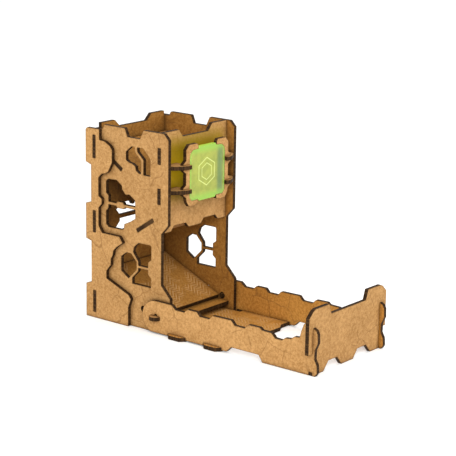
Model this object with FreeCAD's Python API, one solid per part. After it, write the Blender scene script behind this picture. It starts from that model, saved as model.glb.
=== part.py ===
import FreeCAD, Part
import math
import os

os.makedirs("parts", exist_ok=True)

# Dice tower with a fold-down tray, made of interlocking laser-cut 3 mm board.
# Millimetres, +Z up, tower at the +Y end, tray reaching toward -Y, mirrored about X = 0.
# Outlines are drawn from the front edge of the tower sides (y = 0) and the table (z = 0);
# the finished parts are shifted so the origin lies under the middle of the whole length.

SHEET = 3.0            # board thickness
ORIGIN_SHIFT = 30.1    # moves the drawing datum to the middle of the overall length

SIDE_OUT = 40.0        # outer face of the tower sides
SIDE_IN = SIDE_OUT - SHEET
CHEEK_OUT = SIDE_OUT + SHEET

BACK_Y = 70.5          # front face of the back wall
FRONT_Y = 7.5          # front face of the tower front wall
SIDE_TOP = 153.6

PIVOT_Y = 9.5
PIVOT_Z = 12.5
TONGUE = 4.0           # width of the turning tongue of a hinge key
HINGE_PLAY = 0.05

TRAY_GAP = 0.2         # running gap between the tower sides and the tray walls
WALL_IN = SIDE_OUT + TRAY_GAP
WALL_OUT = WALL_IN + SHEET
TRAY_FRONT_Y = -136.8  # front face of the tray front wall
TRAY_WALL_FOOT = 1.0
TRAY_FLOOR_END = -57.5
FLOOR_REAR = 12.0      # the tray floor reaches back under the tower floor
TAB_PROUD = 3.6        # how far the floor tabs stand out of the tray walls, and their corner cut

EMBLEM_Y = -4.3        # front face of the emblem brackets and of the acrylic plate
EMBLEM_BACK_Y = EMBLEM_Y + SHEET
CLAW_TIP_Y = -7.4


def vec(x, y, z):
    return FreeCAD.Vector(x, y, z)


def face(corners):
    return Part.Face(Part.makePolygon(corners + [corners[0]]))


def upright_side(outline, x0, x1):
    """Plate parallel to the tower sides, drawn as (y, z)."""
    return face([vec(x0, y, z) for y, z in outline]).extrude(vec(x1 - x0, 0, 0))


def upright_cross(outline, y0, y1):
    """Plate across the tower, drawn as (x, z)."""
    return face([vec(x, y0, z) for x, z in outline]).extrude(vec(0, y1 - y0, 0))


def level(outline, z0, z1):
    """Horizontal plate, drawn as (x, y)."""
    return face([vec(x, y, z0) for x, y in outline]).extrude(vec(0, 0, z1 - z0))


def block(x0, x1, y0, y1, z0, z1):
    return Part.makeBox(x1 - x0, y1 - y0, z1 - z0, vec(x0, y0, z0))


def hole_x(y, z, radius, x0, x1):
    return Part.makeCylinder(radius, x1 - x0, vec(x0, y, z), vec(1, 0, 0))


def both_ways(half):
    """Closed symmetrical outline from its right half, listed bottom to top."""
    return half + [(-a, b) for a, b in reversed(half)]


def flipped(shape):
    return shape.mirror(vec(0, 0, 0), vec(1, 0, 0))


def sloped_board(y0, z0, y1, z1, x0, x1):
    """Board whose middle line runs from (y0, z0) to (y1, z1), ends cut square."""
    run = math.hypot(y1 - y0, z1 - z0)
    ny = -(z1 - z0) / run * SHEET / 2
    nz = (y1 - y0) / run * SHEET / 2
    outline = [(y0 + ny, z0 + nz), (y1 + ny, z1 + nz), (y1 - ny, z1 - nz), (y0 - ny, z0 - nz)]
    return upright_side(outline, x0, x1)


def save(shape, name):
    moved = shape.removeSplitter()
    moved.translate(vec(0, ORIGIN_SHIFT, 0))
    moved.exportStep("parts/" + name + ".step")


def save_pair(shape, name):
    """A right-hand piece and its mirror image."""
    save(shape, name + "_right")
    save(flipped(shape), name + "_left")


# ---------------------------------------------------------------- sloping boards
# Middle line of each board in the tower, and the part of it that tabs into the sides.
UPPER_BAFFLE = ((69.6, 136.17), (32.0, 111.1))
UPPER_TAB = ((60.0, 129.8), (46.2, 120.6))
MIDDLE_BAFFLE = ((11.4, 88.9), (46.5, 65.5))
MIDDLE_TAB = ((14.6, 86.8), (30.9, 75.9))
RAMP = ((12.9, 11.6), (69.8, 36.68))
RAMP_TAB = ((38.0, 22.66), (50.0, 27.95))


def sloped_piece(ends, tab):
    body = sloped_board(*ends[0], *ends[1], -SIDE_IN, SIDE_IN)
    return body.fuse(sloped_board(*tab[0], *tab[1], -SIDE_OUT, SIDE_OUT))


upper_baffle = sloped_piece(UPPER_BAFFLE, UPPER_TAB)
middle_baffle = sloped_piece(MIDDLE_BAFFLE, MIDDLE_TAB)
exit_ramp = sloped_piece(RAMP, RAMP_TAB)

# ---------------------------------------------------------------- tower floor
FLOOR_BOTTOM = 6.4
FLOOR_TOP = FLOOR_BOTTOM + SHEET
FLOOR_TAB = (13.0, 20.0)
tower_floor = block(-SIDE_IN, SIDE_IN, 2.8, 32.0, FLOOR_BOTTOM, FLOOR_TOP)
tower_floor = tower_floor.fuse(block(-SIDE_OUT, SIDE_OUT, *FLOOR_TAB, FLOOR_BOTTOM, FLOOR_TOP))
tower_floor = tower_floor.cut(exit_ramp)

# ---------------------------------------------------------------- tower sides
side_outline = [
    (BACK_Y, 0), (BACK_Y, 149.8), (66.0, 149.8), (64.4, 153.0), (43.3, 153.0),
    (40.6, 146.6), (28.0, 146.6), (24.6, SIDE_TOP), (4.5, SIDE_TOP), (0, 149.0),
    (0, 84.5), (6.5, 77.3),
    (6.5, 37.6), (-2.5, 28.4), (-2.5, 0),
]
shaft_window_rear = [
    (42.0, 135.3), (42.0, 129.0), (39.0, 127.4), (36.0, 127.0), (32.6, 125.2),
    (32.0, 122.2), (29.2, 120.4), (27.0, 120.2), (27.0, 130.2), (33.2, 136.0),
    (33.4, 139.8), (36.6, 139.8),
]
shaft_window_front = [
    (30.8, 139.8), (30.6, 136.6), (24.5, 131.2), (24.5, 119.7), (17.8, 119.7),
    (17.8, 132.6), (24.8, 139.8),
]
rear_window_upper = [
    (62.4, 109.8), (60.2, 111.6), (51.6, 112.0), (46.4, 108.4), (46.0, 105.6),
    (42.4, 102.0), (38.6, 102.6), (33.0, 99.0), (32.7, 94.0), (44.0, 94.0),
    (45.0, 95.6), (50.6, 95.6), (52.0, 94.0), (60.0, 94.0), (60.0, 99.0), (62.4, 100.8),
]
rear_window_lower = [
    (60.0, 91.9), (52.0, 91.9), (50.8, 90.4), (44.4, 90.4), (43.2, 91.9),
    (32.7, 91.9), (32.7, 85.0), (37.6, 81.9), (43.8, 79.0), (44.4, 74.9),
    (46.4, 74.2), (60.0, 74.2), (62.4, 76.4), (62.4, 86.6), (60.0, 88.8),
]
exit_window_rear = [
    (46.8, 53.3), (41.5, 57.2), (36.6, 57.0), (31.3, 51.4), (31.3, 45.4),
    (39.4, 37.2), (46.8, 42.0),
]
exit_window_top = [
    (34.8, 58.8), (33.4, 63.2), (29.0, 66.7), (17.2, 66.7), (16.5, 65.6),
    (16.5, 55.6), (19.6, 53.4), (19.6, 49.0), (29.3, 49.0), (29.6, 52.4),
]
exit_window_low = [
    (29.5, 47.1), (19.7, 47.1), (19.7, 43.6), (16.7, 41.2), (16.7, 33.8),
    (35.5, 33.8), (35.5, 38.4), (29.5, 44.4),
]
FRONT_TABS = ((130.0, 142.2), (99.6, 111.6))
KEEPER_HOLE = (24.4, 15.9, 2.2)

side = upright_side(side_outline, SIDE_IN, SIDE_OUT)
for outline in (
    shaft_window_rear, shaft_window_front, rear_window_upper, rear_window_lower,
    exit_window_rear, exit_window_top, exit_window_low,
):
    side = side.cut(upright_side(outline, SIDE_IN - 1, SIDE_OUT + 1))
for low, high in FRONT_TABS:
    side = side.cut(block(SIDE_IN - 1, SIDE_OUT + 1, FRONT_Y, FRONT_Y + SHEET, low, high))
side = side.cut(hole_x(PIVOT_Y, PIVOT_Z, math.hypot(TONGUE, SHEET) / 2 + HINGE_PLAY, 30, 50))
side = side.cut(hole_x(*KEEPER_HOLE, 30, 50))
for board in (upper_baffle, middle_baffle, exit_ramp, tower_floor):
    side = side.cut(board)

# ---------------------------------------------------------------- rear cheeks
cheek_outline = [
    (80.8, 0), (80.8, 26.5), (75.3, 28.5), (75.3, 61.0), (80.8, 62.5), (80.8, 90.5),
    (75.3, 92.2), (75.3, 121.0), (80.8, 122.8), (80.8, 148.0), (79.3, 149.5), (66.7, 149.5),
    (66.7, 141.4), (61.6, 141.0), (56.0, 138.2), (53.6, 135.6), (53.6, 125.4), (57.6, 118.0),
    (60.2, 116.3), (64.4, 115.3), (67.6, 112.0), (67.6, 97.8), (64.3, 96.0), (64.3, 92.0),
    (67.6, 88.4), (67.6, 74.4), (64.0, 69.3), (46.3, 69.3), (42.8, 64.8), (49.2, 60.4),
    (52.2, 57.4), (53.0, 53.4), (55.0, 50.0), (55.0, 45.4), (59.5, 40.0), (59.5, 34.0),
    (36.6, 25.0), (34.3, 22.0), (37.0, 15.0), (37.0, 0),
]
BACK_TABS = ((4.5, 22.0), (68.5, 85.6), (126.6, 144.4))
cheek = upright_side(cheek_outline, SIDE_OUT, CHEEK_OUT)
for low, high in BACK_TABS:
    cheek = cheek.cut(block(SIDE_OUT - 1, CHEEK_OUT + 1, BACK_Y, BACK_Y + SHEET, low, high))

# ---------------------------------------------------------------- back wall
# It closes the shaft behind both sides; its tabs pass sideways through the cheeks.
back_half = [
    (SIDE_OUT, 0), (SIDE_OUT, 149.5), (36.2, 149.5), (36.2, 153.2), (21.0, 153.2), (15.6, 148.0),
]
back_window_top = both_ways([(15.6, 77.7), (19.6, 82.4), (13.0, 87.0), (3.0, 87.0), (1.0, 83.7)])
back_window_low = both_ways([(19.6, 65.0), (19.6, 68.6), (15.6, 72.6), (15.6, 74.7)])
back_wall = upright_cross(both_ways(back_half), BACK_Y, BACK_Y + SHEET)
for low, high in BACK_TABS:
    back_wall = back_wall.fuse(block(-CHEEK_OUT, CHEEK_OUT, BACK_Y, BACK_Y + SHEET, low, high))
for outline in (back_window_top, back_window_low):
    back_wall = back_wall.cut(upright_cross(outline, BACK_Y - 1, BACK_Y + SHEET + 1))

# ---------------------------------------------------------------- tower front wall
front_half = [
    (7.2, 77.0), (10.6, 80.8), (24.4, 80.8), (27.8, 77.0), (SIDE_IN, 77.0),
    (SIDE_IN, SIDE_TOP), (19.4, SIDE_TOP), (14.8, 148.0),
]
front_wall = upright_cross(both_ways(front_half), FRONT_Y, FRONT_Y + SHEET)
for low, high in FRONT_TABS:
    front_wall = front_wall.fuse(block(-SIDE_OUT, SIDE_OUT, FRONT_Y, FRONT_Y + SHEET, low, high))

# ---------------------------------------------------------------- emblem
# Two brackets hold an acrylic plate between them; four claws slot through the ears of the
# brackets and hook over the plate, so plate and brackets stand clear of the front wall.
CLAW_HEIGHTS = (109.1, 127.5)
PLATE_HALF = 20.4
BRACKET_HALF = 24.9
EAR = 28.0
claw_outline = [
    (29.5, FRONT_Y + SHEET), (29.5, FRONT_Y), (SIDE_IN - 0.2, FRONT_Y), (SIDE_IN - 0.2, 1.6),
    (35.0, -1.2), (33.0, -3.0), (30.4, -4.6), (27.6, -6.4), (24.6, CLAW_TIP_Y),
    (21.6, CLAW_TIP_Y), (20.6, -6.4), (20.6, EMBLEM_Y), (25.6, EMBLEM_Y),
    (25.6, EMBLEM_BACK_Y), (19.4, EMBLEM_BACK_Y), (19.4, 0.4), (22.0, 3.0), (22.0, FRONT_Y + SHEET),
]
claws_right = [level(claw_outline, z - SHEET / 2, z + SHEET / 2) for z in CLAW_HEIGHTS]
claws_left = [flipped(plate) for plate in claws_right]

# The edge the bracket shares with the plate, top to bottom.
shared_edge = [
    (10.4, 139.6), (17.0, 139.2), (19.8, 136.8), (PLATE_HALF, 134.0), (PLATE_HALF, 103.4),
    (18.0, 101.0), (10.4, 101.0),
]
bracket_outline = [(11.0, 98.0), (14.6, 96.8), (21.2, 97.0), (23.9, 100.6)]
for z in CLAW_HEIGHTS:
    bracket_outline += [(BRACKET_HALF, z - 4.8), (EAR, z - 2.8), (EAR, z + 2.8), (BRACKET_HALF, z + 4.8)]
bracket_outline += [(BRACKET_HALF, 140.4), (21.4, 144.0), (12.2, 144.0), (10.8, 142.4)]
bracket = upright_cross(bracket_outline + shared_edge, EMBLEM_Y, EMBLEM_BACK_Y)

plate_half = [(9.4, 99.6)] + list(reversed(shared_edge)) + [(9.4, 141.2)]
acrylic_plate = upright_cross(both_ways(plate_half), EMBLEM_Y, EMBLEM_BACK_Y)

for plate in claws_right:
    bracket = bracket.cut(plate)
for plate in claws_left + claws_right:
    front_wall = front_wall.cut(plate)

# ---------------------------------------------------------------- tray
WALL_TOP = 25.8
wall_outline = [
    (PIVOT_Y, WALL_TOP), (-6.6, WALL_TOP), (-10.6, 22.6), (-19.0, 22.6), (-22.0, 25.4),
    (-31.2, 25.4), (-34.0, 22.4), (-43.0, 22.4), (-46.0, 25.6), (-63.6, 25.8),
    (-67.0, 22.4), (-76.0, 22.4), (-79.2, 25.6), (-89.8, 25.8), (-92.0, 24.2),
    (-100.4, 24.0), (-103.6, 20.8), (-109.6, 20.6), (-112.4, 22.8), (-117.6, 23.4),
    (-120.6, 25.6), (-125.2, 26.0), (-126.4, 31.0), (-128.4, 36.0), (-130.4, 38.4),
    (-133.8, 38.6), (-133.8, 35.0), (-136.8, 35.0), (-139.4, 33.8), (-140.8, 31.0),
    (-141.0, 24.4), (-138.6, 19.0), (-138.4, 12.4), (-140.6, 8.4), (-141.0, 2.6),
    (-139.2, TRAY_WALL_FOOT - 1.0), (-92.6, TRAY_WALL_FOOT - 1.0), (-89.2, 5.2), (-64.0, 5.2),
    (-59.6, TRAY_WALL_FOOT), (PIVOT_Y, TRAY_WALL_FOOT),
]
FLOOR_TABS = ((-20.6, -3.2), (-55.0, -37.6))
KEY_HEAD = 9.2
ROUND_TOP = 12.9       # radius of the rounded end above the pivot, a little larger than below it
ROUND_END = 22.0

tray_wall = upright_side(wall_outline, WALL_IN, WALL_OUT)
lower_round = hole_x(PIVOT_Y, PIVOT_Z, PIVOT_Z, WALL_IN, WALL_OUT)
lower_round = lower_round.common(block(30, 60, -20, ROUND_END, TRAY_WALL_FOOT, PIVOT_Z))
upper_round = hole_x(PIVOT_Y, WALL_TOP - ROUND_TOP, ROUND_TOP, WALL_IN, WALL_OUT)
upper_round = upper_round.common(block(30, 60, -20, ROUND_END, PIVOT_Z, WALL_TOP))
tray_wall = tray_wall.fuse(lower_round).fuse(upper_round)
for start, end in FLOOR_TABS:
    tray_wall = tray_wall.cut(block(WALL_IN - 1, WALL_OUT + 1, start, end, -1, SHEET))
key_slot = block(
    WALL_IN - 1, WALL_OUT + 1, PIVOT_Y - KEY_HEAD / 2, PIVOT_Y + KEY_HEAD / 2,
    PIVOT_Z - SHEET / 2, PIVOT_Z + SHEET / 2,
)
tray_wall = tray_wall.cut(key_slot)
tray_wall = tray_wall.cut(hole_x(PIVOT_Y - 0.6, PIVOT_Z + SHEET / 2, 1.6, WALL_IN - 1, WALL_OUT + 1))
tray_wall = tray_wall.cut(block(WALL_IN - 1, WALL_OUT + 1, -136.8, -133.8, -1, 2.6))

# The floor stops short of the front wall, so the dice roll out onto the table inside the tray.
tray_floor = level(
    both_ways([
        (36.4, FLOOR_REAR), (36.4, -9.2), (WALL_IN, -9.2), (WALL_IN, -54.0), (31.0, -54.0),
        (25.0, TRAY_FLOOR_END),
    ]),
    0, SHEET,
)
for start, end in FLOOR_TABS:
    tab = [
        (WALL_IN, start), (WALL_OUT, start), (WALL_OUT + TAB_PROUD, start + TAB_PROUD),
        (WALL_OUT + TAB_PROUD, end - TAB_PROUD), (WALL_OUT, end), (WALL_IN, end),
    ]
    floor_tab = level(tab, 0, SHEET)
    tray_floor = tray_floor.fuse(floor_tab).fuse(flipped(floor_tab))

WING = 48.3
tray_front_half = [
    (7.4, 0), (12.8, 6.5), (23.4, 6.7), (29.4, 0), (WALL_IN, 0),
    (WALL_IN, 35.0), (WALL_OUT, 35.0), (WALL_OUT, 16.0), (WING, 16.0),
    (WING, 42.8), (43.4, 47.4), (40.6, 48.6), (24.2, 48.6), (21.6, 41.2),
]
tray_front = upright_cross(both_ways(tray_front_half), TRAY_FRONT_Y, TRAY_FRONT_Y + SHEET)
for low, high in ((-WALL_OUT, -WALL_IN), (WALL_IN, WALL_OUT)):
    tray_front = tray_front.fuse(block(low, high, TRAY_FRONT_Y, TRAY_FRONT_Y + SHEET, 0, 2.6))

# Hinge key: a flat board piece whose half-round head is fixed in the tray wall and stands out
# of it, and whose narrow tongue turns in the round hole of the tower side.
KEY_LOW = PIVOT_Z - SHEET / 2
key_head = block(
    WALL_IN, WALL_OUT, PIVOT_Y - KEY_HEAD / 2, PIVOT_Y + KEY_HEAD / 2, KEY_LOW, KEY_LOW + SHEET,
)
key_nose = Part.makeCylinder(KEY_HEAD / 2, SHEET, vec(WALL_OUT, PIVOT_Y, KEY_LOW))
key_nose = key_nose.common(block(WALL_OUT, WALL_OUT + KEY_HEAD, -20, 40, 0, 30))
key_tongue = block(
    SIDE_IN, WALL_IN, PIVOT_Y - TONGUE / 2, PIVOT_Y + TONGUE / 2, KEY_LOW, KEY_LOW + SHEET,
)
hinge_key = key_head.fuse(key_nose).fuse(key_tongue)

# ---------------------------------------------------------------- write every piece
save_pair(side, "side_panel")
save_pair(cheek, "rear_cheek")
save(back_wall, "back_wall")
save(front_wall, "front_wall")
save(upper_baffle, "upper_baffle")
save(middle_baffle, "middle_baffle")
save(exit_ramp, "exit_ramp")
save(tower_floor, "tower_floor")
save_pair(bracket, "emblem_bracket")
save(acrylic_plate, "acrylic_plate")
for place, lower_plate, upper_plate in (("left", *claws_left), ("right", *claws_right)):
    save(lower_plate, "claw_lower_" + place)
    save(upper_plate, "claw_upper_" + place)
save_pair(tray_wall, "tray_wall")
save(tray_floor, "tray_floor")
save(tray_front, "tray_front")
save_pair(hinge_key, "hinge_key")
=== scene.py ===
import math

import bpy
from mathutils import Matrix, Vector


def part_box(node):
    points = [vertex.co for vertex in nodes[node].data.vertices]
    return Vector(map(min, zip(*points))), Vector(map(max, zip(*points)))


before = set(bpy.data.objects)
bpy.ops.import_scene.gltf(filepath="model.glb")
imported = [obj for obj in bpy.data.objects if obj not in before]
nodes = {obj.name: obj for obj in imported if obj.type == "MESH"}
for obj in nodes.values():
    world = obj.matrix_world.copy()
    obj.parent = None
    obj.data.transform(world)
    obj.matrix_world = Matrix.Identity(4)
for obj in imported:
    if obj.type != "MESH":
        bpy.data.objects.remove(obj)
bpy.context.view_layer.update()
scene = bpy.context.scene

# ------------------------------------------------------------------ colours (linear RGB)
# Board: its outer face, its inner face painted darker as shade, the specks in both, and what the
# laser left.
OUTER_LIGHT = (0.50, 0.280, 0.105, 1)
OUTER_DEEP = (0.31, 0.158, 0.049, 1)
SHADED_INNER_LIGHT = (0.42, 0.200, 0.043, 1)
SHADED_INNER_DEEP = (0.25, 0.108, 0.018, 1)
SPECK_DARK = (0.17, 0.076, 0.022, 1)
SPECK_PALE = (0.66, 0.42, 0.19, 1)
BURNT = (0.020, 0.009, 0.0025, 1)
BURNT_PALE = (0.060, 0.029, 0.009, 1)
ENGRAVED = (0.16, 0.070, 0.018, 1)
# Laser scorch beside the cuts, also used as painted shade in the corners where boards meet.
SCORCH_AND_CORNER_SHADE = (0.075, 0.030, 0.006, 1)
# Painted shade deep inside the tower.
HOLLOW_SHADE_COLOUR = (0.034, 0.014, 0.004, 1)
HATCH_PALE = (0.62, 0.38, 0.17, 1)

# Acrylic plate, and the light it throws on the wall behind it.
PLATE_DEEP = (0.34, 0.38, 0.07, 1)
PLATE_LIGHT = (0.44, 0.47, 0.09, 1)
PLATE_SHADED = (0.10, 0.20, 0.10, 1)
PLATE_RIM_GLOW = (0.32, 0.58, 0.085, 1)
PLATE_EDGE = (0.36, 0.64, 0.07, 1)
PLATE_ETCHED = (0.80, 0.90, 0.32, 1)
PLATE_CLEAR = (0.74, 0.93, 0.30, 1)
GLOW = (0.26, 0.165, 0.001, 1)
NO_LIGHT = (0, 0, 0, 1)

# ------------------------------------------------------------------ what differs from board to board
SHADED_HOLLOW_BOARDS = ("side_panel_left", "side_panel_right", "back_wall", "front_wall")
HATCHED_BOARDS = ("exit_ramp", "tray_floor")
LIT_BOARD = "front_wall"
SLOPES = {  # fall and run of each sloping board, in millimetres
    "upper_baffle": (-25.07, 37.6),
    "middle_baffle": (23.4, 35.1),
    "exit_ramp": (-25.08, 56.9),
}
NO_PAINTED_LIGHT_TINTS = (1.0, 1.0)
PAINTED_LIGHT_TINTS = {  # painted light and shade: brightness of the outer and of the inner face
    "side_panel_left": (0.94, 1.0),
    "side_panel_right": (0.94, 1.0),
    "front_wall": (0.96, 1.0),
    "tray_front": (0.93, 1.1),
    "tray_wall_left": (1.04, 1.25),
    "tray_wall_right": (1.04, 1.25),
    "tray_floor": (1.0, 1.32),
    "tower_floor": (1.0, 1.2),
}

# Lengths in metres.
HALO_RADIUS = 0.0015        # scorched strip beside a cut
CORNER_SHADE_REACH = 0.0045         # reach of the painted shade in the corner where two boards meet
HOLLOW_SHADE_REACH = 0.075        # reach of the painted shade inside, about the width of the tower inside
ZIGZAG_WIDTH = 0.0055       # herringbone hatch of the ramp and the tray floor
STROKE_PITCH = 0.0016
GRAIN_HEIGHT = 0.00010
LINE_WANDER = 0.005
WELD_REACH = 0.000001
SOFT_EDGE = 0.00018

# Noise scales, in cycles per metre.
CLOUD_SCALE = 42.0
MOTTLE_SCALE = 520.0
FIBRE_SCALE = 1500.0
PALE_FIBRE_SCALE = 900.0
LINE_CELL_SCALE = 46.0
LINE_WANDER_SCALE = 90.0
LINE_PATCH_SCALE = 33.0
HATCH_PATCH_SCALE = 55.0
STREAK_ALONG = 60.0         # through the thickness of the sheet
STREAK_ACROSS = 900.0

# How strongly each layer of the board covers the one under it, from 0 to 1.
DARK_SPECKS = 0.55
PALE_SPECKS = 0.42
LINES = 0.40
HATCH = 0.48
HALO = 0.88
CORNER_SHADE = 0.72
HOLLOW_SHADE = 0.80
PLATE_LIGHT_ON_WALL = 0.92

# How squarely a surface must look through its sheet to count as its flat face.
FACE_BLEND = (0.80, 0.93)

# Mark etched in the acrylic plate: two hexagon rings, in metres from the middle of the plate.
MARK_X, MARK_Z = -0.0008, 0.0005
OUTER_RING = (0.0092, 0.00048)   # radius and line width
INNER_RING = (0.0056, 0.00040)


# ------------------------------------------------------------------ node helpers
class Tree:
    """A short way to write a shader: each call adds a node and gives back its first output."""

    def __init__(self, name):
        self.material = bpy.data.materials.new(name)
        self.material.use_nodes = True
        self.tree = self.material.node_tree
        self.tree.nodes.clear()

    def node(self, kind, values=None, **settings):
        n = self.tree.nodes.new(kind)
        for key, value in settings.items():
            setattr(n, key, value)
        for socket, value in (values or {}).items():
            if isinstance(value, bpy.types.NodeSocket):
                self.tree.links.new(value, n.inputs[socket])
            else:
                n.inputs[socket].default_value = value
        return n

    def math(self, operation, a, b=0.0, c=0.0):
        return self.node("ShaderNodeMath", {0: a, 1: b, 2: c}, operation=operation).outputs[0]

    def times(self, a, b):
        return self.math("MULTIPLY", a, b)

    def rest(self, a):
        """What is left of one."""
        return self.math("SUBTRACT", 1.0, a)

    def absolute(self, a):
        return self.math("ABSOLUTE", a)

    def vector(self, operation, a, b=(0, 0, 0), c=(0, 0, 0), scale=None):
        values = {0: a, 1: b, 2: c}
        if scale is not None:
            values["Scale"] = scale
        n = self.node("ShaderNodeVectorMath", values, operation=operation)
        return n.outputs["Value" if operation == "DOT_PRODUCT" else "Vector"]

    def axes(self, where):
        """The X, Y and Z of a vector."""
        return self.node("ShaderNodeSeparateXYZ", {0: where}).outputs

    def step(self, value, low, high):
        values = {"Value": value, "From Min": low, "From Max": high}
        n = self.node("ShaderNodeMapRange", values, interpolation_type="SMOOTHSTEP")
        return n.outputs["Result"]

    def mix(self, factor, a, b):
        n = self.node("ShaderNodeMix", {0: factor, 6: a, 7: b}, data_type="RGBA")
        return n.outputs[2]

    def noise(self, where, scale, detail=3.0, roughness=0.55):
        values = {"Vector": where, "Scale": scale, "Detail": detail, "Roughness": roughness}
        return self.node("ShaderNodeTexNoise", values).outputs["Fac"]

    def openness(self, reach):
        """One in the open, zero where other faces lie within reach all around."""
        return self.node("ShaderNodeAmbientOcclusion", {"Distance": reach}, samples=6).outputs["AO"]

    def bump(self, height, distance, strength=0.6):
        values = {"Height": height, "Distance": distance, "Strength": strength}
        return self.node("ShaderNodeBump", values).outputs["Normal"]

    def principled(self, values):
        return self.node("ShaderNodeBsdfPrincipled", values).outputs[0]

    def output(self, shader):
        self.node("ShaderNodeOutputMaterial", {"Surface": shader})
        return self.material


# ------------------------------------------------------------------ board
def pressed_face(t, place, outside, painted_light_tints):
    """Mottled fibre surface, the inner face of the sheet painted darker than the outer one as shade.

    Gives the colour, the mottle and the fine fibre noise."""
    cloud = t.noise(place, CLOUD_SCALE, 2.0)
    mottle = t.noise(place, MOTTLE_SCALE, 5.0, 0.74)
    fibre = t.noise(place, FIBRE_SCALE, 3.0, 0.7)
    fine = t.times(t.step(mottle, 0.37, 0.63), 0.74)
    tone = t.math("MULTIPLY_ADD", t.step(cloud, 0.34, 0.66), 0.26, fine)
    # Painted shade: the inner face takes the darker colours.
    face = t.mix(outside, t.mix(tone, SHADED_INNER_DEEP, SHADED_INNER_LIGHT), t.mix(tone, OUTER_DEEP, OUTER_LIGHT))
    face = t.mix(t.times(t.step(fibre, 0.56, 0.70), DARK_SPECKS), face, SPECK_DARK)
    pale_fibre = t.step(t.noise(place, PALE_FIBRE_SCALE, 2.0), 0.60, 0.74)
    face = t.mix(t.times(pale_fibre, t.times(outside, PALE_SPECKS)), face, SPECK_PALE)
    # Painted light and shade: each board's faces are brightened or dimmed to stand in for how the
    # light falls on it.
    outer_painted_light, inner_painted_light = painted_light_tints
    painted_brightness = t.math("MULTIPLY_ADD", outside, outer_painted_light - inner_painted_light, inner_painted_light)
    return t.vector("SCALE", face, scale=painted_brightness), mottle, fibre


def engraved_lines(t, place):
    """Strength of the thin bent lines that break up the sheet, in patches."""
    values = {"Vector": place, "Scale": LINE_WANDER_SCALE, "Detail": 1.0}
    wander = t.node("ShaderNodeTexNoise", values).outputs["Color"]
    bent = t.vector("MULTIPLY_ADD", wander, (LINE_WANDER,) * 3, place)
    values = {"Vector": bent, "Scale": LINE_CELL_SCALE, "Randomness": 0.9}
    cells = t.node("ShaderNodeTexVoronoi", values, feature="DISTANCE_TO_EDGE").outputs["Distance"]
    line = t.rest(t.step(cells, 0.008, 0.026))
    patches = t.step(t.noise(place, LINE_PATCH_SCALE, 1.0), 0.49, 0.56)
    return t.times(t.times(line, patches), LINES)


def hatching(t, here, place, outside):
    """Strength of a plain herringbone hatch on the inner face, in patches."""
    axes = t.axes(here)
    zigzag = t.math("PINGPONG", axes["X"], ZIGZAG_WIDTH)
    row = t.math("PINGPONG", t.math("ADD", axes["Y"], zigzag), STROKE_PITCH)
    stroke = t.step(row, 0.0006, 0.0013)
    patches = t.step(t.noise(place, HATCH_PATCH_SCALE, 1.0), 0.42, 0.52)
    return t.times(t.times(t.times(stroke, patches), t.rest(outside)), HATCH)


def scorch_and_corner_shade(t, face):
    """Darkens a strip beside every cut, and paints shade into the corners where boards meet."""
    rounded = t.node("ShaderNodeBevel", {"Radius": HALO_RADIUS}, samples=8).outputs["Normal"]
    true_normal = t.node("ShaderNodeNewGeometry").outputs["Normal"]
    middle = t.step(t.vector("DOT_PRODUCT", rounded, true_normal), 0.80, 0.997)
    face = t.mix(t.times(t.rest(middle), HALO), face, SCORCH_AND_CORNER_SHADE)
    # Painted shade: corners where boards meet are darkened where shade falls.
    corner_shade_mask = t.times(t.rest(t.step(t.openness(CORNER_SHADE_REACH), 0.30, 0.96)), CORNER_SHADE)
    return t.mix(corner_shade_mask, face, SCORCH_AND_CORNER_SHADE)


def plate_glow(t, here, outside):
    """Light from the plate on the wall behind it, and its brightest middle."""
    low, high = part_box("acrylic_plate")
    above_centre = tuple((low + high) / 2 + Vector((0, 0, 0.004)))
    away = t.axes(t.vector("SUBTRACT", here, above_centre))
    aside = t.rest(t.step(t.absolute(away["X"]), 0.026, 0.040))
    along = t.rest(t.step(t.absolute(away["Z"]), 0.014, 0.031))
    close = t.rest(t.step(t.absolute(away["Z"]), 0.003, 0.017))
    glow = t.times(t.times(aside, along), t.times(outside, PLATE_LIGHT_ON_WALL))
    return glow, t.times(glow, close)


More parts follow.
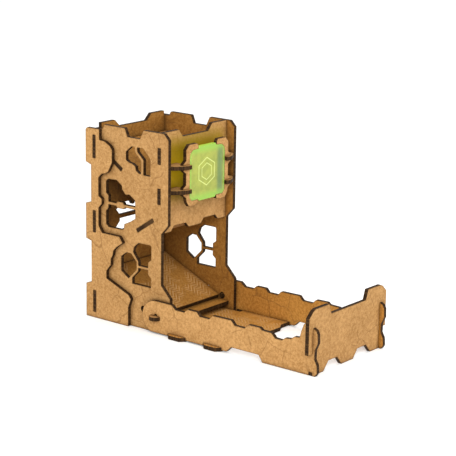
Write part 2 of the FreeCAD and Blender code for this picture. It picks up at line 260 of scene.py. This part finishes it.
def board(node, outward, seed):
    """Fibreboard sheet: mottled pressed faces and edges charred by the laser.

    outward is the direction through the sheet's thickness that leads out of the object."""
    t = Tree("board_" + node)
    coords = t.node("ShaderNodeTexCoord").outputs
    here = coords["Object"]
    place = t.vector("ADD", here, (seed * 0.173, seed * 0.091, seed * 0.137))
    through = t.vector("DOT_PRODUCT", coords["Normal"], outward)
    flat = t.step(t.absolute(through), *FACE_BLEND)
    outside = t.math("GREATER_THAN", through, 0.0)

    face, mottle, fibre = pressed_face(t, place, outside, PAINTED_LIGHT_TINTS.get(node, NO_PAINTED_LIGHT_TINTS))
    engraved = engraved_lines(t, place)
    face = t.mix(engraved, face, ENGRAVED)
    if node in HATCHED_BOARDS:
        face = t.mix(hatching(t, here, place, outside), face, HATCH_PALE)
    face = scorch_and_corner_shade(t, face)
    # Painted shade: inner faces deep inside the tower are darkened where little light reaches.
    if node in SHADED_HOLLOW_BOARDS:
        hollow_shade_mask = t.rest(t.step(t.openness(HOLLOW_SHADE_REACH), 0.02, 0.50))
        face = t.mix(t.times(t.times(hollow_shade_mask, t.rest(outside)), HOLLOW_SHADE), face, HOLLOW_SHADE_COLOUR)

    finish = {"Specular IOR Level": 0.10}
    if node == LIT_BOARD:
        glow, glow_middle = plate_glow(t, here, outside)
        face = t.mix(glow, face, GLOW)
        finish["Emission Color"] = t.mix(glow_middle, NO_LIGHT, GLOW)
        finish["Emission Strength"] = 0.50

    # Charring runs in streaks through the thickness of the sheet.
    stretch = tuple(STREAK_ALONG if abs(a) > 0.5 else STREAK_ACROSS for a in outward)
    streaks = t.noise(t.vector("MULTIPLY", place, stretch), 1.0, 2.0)
    edge = t.mix(t.step(streaks, 0.40, 0.72), BURNT, BURNT_PALE)
    finish["Base Color"] = t.mix(flat, edge, face)

    grain = t.math("ADD", t.times(fibre, 0.5), mottle)
    height = t.math("SUBTRACT", grain, t.times(engraved, 1.5))
    height = t.math("ADD", height, t.times(streaks, t.rest(flat)))
    finish["Roughness"] = t.math("MULTIPLY_ADD", mottle, 0.22, 0.58)
    finish["Normal"] = t.bump(height, GRAIN_HEIGHT)
    return t.output(t.principled(finish))


# ------------------------------------------------------------------ acrylic and floor
def hexagon_ring(t, x, z, radius, width):
    """Strength of a hexagonal line, from the distances to its centre sideways and upwards."""
    slanted = t.math("ADD", t.times(x, 0.5), t.times(z, 0.8660))
    away = t.absolute(t.math("SUBTRACT", t.math("MAXIMUM", slanted, x), radius))
    return t.rest(t.step(away, width * 0.5, width))


def acrylic(name):
    """Fluorescent tinted sheet: clear enough to see through, with a painted glow that is brighter
    along its cut edges.
    """
    t = Tree(name)
    coords = t.node("ShaderNodeTexCoord").outputs
    flat = t.step(t.absolute(t.vector("DOT_PRODUCT", coords["Normal"], (0, 1, 0))), *FACE_BLEND)
    low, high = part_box("acrylic_plate")
    half = (high - low) / 2
    local = t.vector("SUBTRACT", coords["Object"], tuple((low + high) / 2))
    axes = t.axes(local)
    x, z = axes["X"], axes["Z"]

    mark_x = t.absolute(t.math("SUBTRACT", x, MARK_X))
    mark_z = t.absolute(t.math("SUBTRACT", z, MARK_Z))
    outer_ring = hexagon_ring(t, mark_x, mark_z, *OUTER_RING)
    inner_ring = hexagon_ring(t, mark_x, mark_z, *INNER_RING)
    etched = t.times(t.math("MAXIMUM", outer_ring, inner_ring), flat)

    # Painted glow: a brighter band along the edges of the sheet.
    tall = t.step(t.absolute(z), half.z - 0.0075, half.z - 0.0015)
    wide = t.step(t.absolute(x), half.x - 0.0026, half.x - 0.0006)
    rim_glow = t.times(t.math("MAXIMUM", tall, wide), 0.85)
    shaded = t.rest(t.step(t.absolute(t.math("SUBTRACT", x, 0.0148)), 0.0008, 0.0052))
    cloud = t.noise(local, 190.0, 2.0)

    body = t.mix(t.step(cloud, 0.3, 0.7), PLATE_DEEP, PLATE_LIGHT)
    body = t.mix(t.times(shaded, 0.75), body, PLATE_SHADED)
    body = t.mix(rim_glow, body, PLATE_RIM_GLOW)
    body = t.mix(t.times(etched, 0.55), body, PLATE_ETCHED)
    body = t.mix(flat, PLATE_EDGE, body)
    # Painted light: the sheet glows by its own emission, though it is no lamp.
    solid = t.principled({
        "Base Color": body,
        "Roughness": 0.12,
        "IOR": 1.49,
        "Emission Color": body,
        "Emission Strength": 0.12,
    })
    clear = t.node("ShaderNodeBsdfTransparent", {"Color": PLATE_CLEAR}).outputs[0]
    cover = t.math("MAXIMUM", t.math("MULTIPLY_ADD", flat, -0.30, 0.95), t.times(etched, 0.85))
    return t.output(t.node("ShaderNodeMixShader", {0: cover, 1: clear, 2: solid}).outputs[0])


def pale(name):
    t = Tree(name)
    return t.output(t.principled({
        "Base Color": (0.93, 0.93, 0.93, 1),
        "Roughness": 0.9,
        "Emission Color": (1, 1, 1, 1),
        "Emission Strength": 0.12,
    }))


# ------------------------------------------------------------------ finish of every node
def outward_of(node):
    """Direction through the sheet of a node, pointing out of the object."""
    if node in SLOPES:
        rise, run = SLOPES[node]
        return tuple(-Vector((0, rise, run)).normalized())
    if node.startswith(("side_panel", "rear_cheek", "tray_wall")):
        return (-1, 0, 0) if node.endswith("_left") else (1, 0, 0)
    if node in ("tower_floor", "tray_floor"):
        return (0, 0, -1)
    if node.startswith(("claw", "hinge_key")):
        return (0, 0, 1)
    return (0, 1, 0) if node == "back_wall" else (0, -1, 0)


def soften_edges(piece):
    """Takes the knife edge off a board. The faces are joined first, or there is no edge to round."""
    joined = piece.modifiers.new("joined_faces", "WELD")
    joined.merge_threshold = WELD_REACH
    softened = piece.modifiers.new("softened_edges", "BEVEL")
    softened.width = SOFT_EDGE
    softened.segments = 2
    softened.limit_method = "ANGLE"
    softened.angle_limit = math.radians(35)
    softened.harden_normals = True


for number, node in enumerate(sorted(nodes)):
    piece = nodes[node]
    piece.data.materials.clear()
    if node == "acrylic_plate":
        piece.data.materials.append(acrylic("acrylic_green"))
    else:
        piece.data.materials.append(board(node, outward_of(node), number))
    soften_edges(piece)

# ------------------------------------------------------------------ camera
CAMERA_PLACE = (-0.9237, -0.7312, 0.3773)
AZIMUTH = math.radians(51.44)
DOWN = math.radians(14.12)
ROLL = math.radians(0.92)
SENSOR = 36
LENS = 128.0447

ahead = Vector((
    math.sin(AZIMUTH) * math.cos(DOWN), math.cos(AZIMUTH) * math.cos(DOWN), -math.sin(DOWN),
))
level = Vector((math.cos(AZIMUTH), -math.sin(AZIMUTH), 0))
over = level.cross(ahead)
right = level * math.cos(ROLL) + over * math.sin(ROLL)
up = over * math.cos(ROLL) - level * math.sin(ROLL)
turn = Matrix((right, up, -ahead)).transposed()

camera_data = bpy.data.cameras.new("camera")
camera_data.sensor_width = SENSOR
camera_data.lens = LENS
camera_data.clip_start = 0.05
camera_data.clip_end = 20
camera = bpy.data.objects.new("camera", camera_data)
scene.collection.objects.link(camera)
camera.matrix_world = Matrix.Translation(CAMERA_PLACE) @ turn.to_4x4()
scene.camera = camera

# ------------------------------------------------------------------ floor, light
FLOOR_REACH = 12.0
FLOOR_DROP = 0.0002     # keeps the floor just clear of the undersides

corners = [(x * FLOOR_REACH, y * FLOOR_REACH, 0) for x, y in ((-1, -1), (1, -1), (1, 1), (-1, 1))]
floor_mesh = bpy.data.meshes.new("floor")
floor_mesh.from_pydata(corners, [], [(0, 1, 2, 3)])
floor = bpy.data.objects.new("floor", floor_mesh)
scene.collection.objects.link(floor)
floor.location.z = -FLOOR_DROP
floor.data.materials.append(pale("pale_floor"))

world = bpy.data.worlds.new("studio")
scene.world = world
world.use_nodes = True
backdrop = world.node_tree.nodes["Background"]
backdrop.inputs["Color"].default_value = (1.0, 0.995, 0.985, 1)
backdrop.inputs["Strength"].default_value = 0.95


def softbox(name, place, aim, size, power, colour=(1, 1, 1)):
    data = bpy.data.lights.new(name, "AREA")
    data.shape = "RECTANGLE"
    data.size, data.size_y = size
    data.energy = power
    data.color = colour
    lamp = bpy.data.objects.new(name, data)
    scene.collection.objects.link(lamp)
    lamp.location = place
    lamp.rotation_euler = (Vector(aim) - Vector(place)).to_track_quat("-Z", "Y").to_euler()


softbox("key", (-1.15, -0.95, 0.85), (0, -0.02, 0.05), (0.8, 0.8), 18, (1, 0.98, 0.95))
softbox("fill", (0.35, -1.5, 0.8), (0, 0, 0.05), (1.2, 0.8), 4)
softbox("top", (0.1, 0.1, 1.6), (0, 0, 0), (1.0, 1.0), 4)

scene.view_settings.view_transform = "Standard"
scene.view_settings.look = "None"
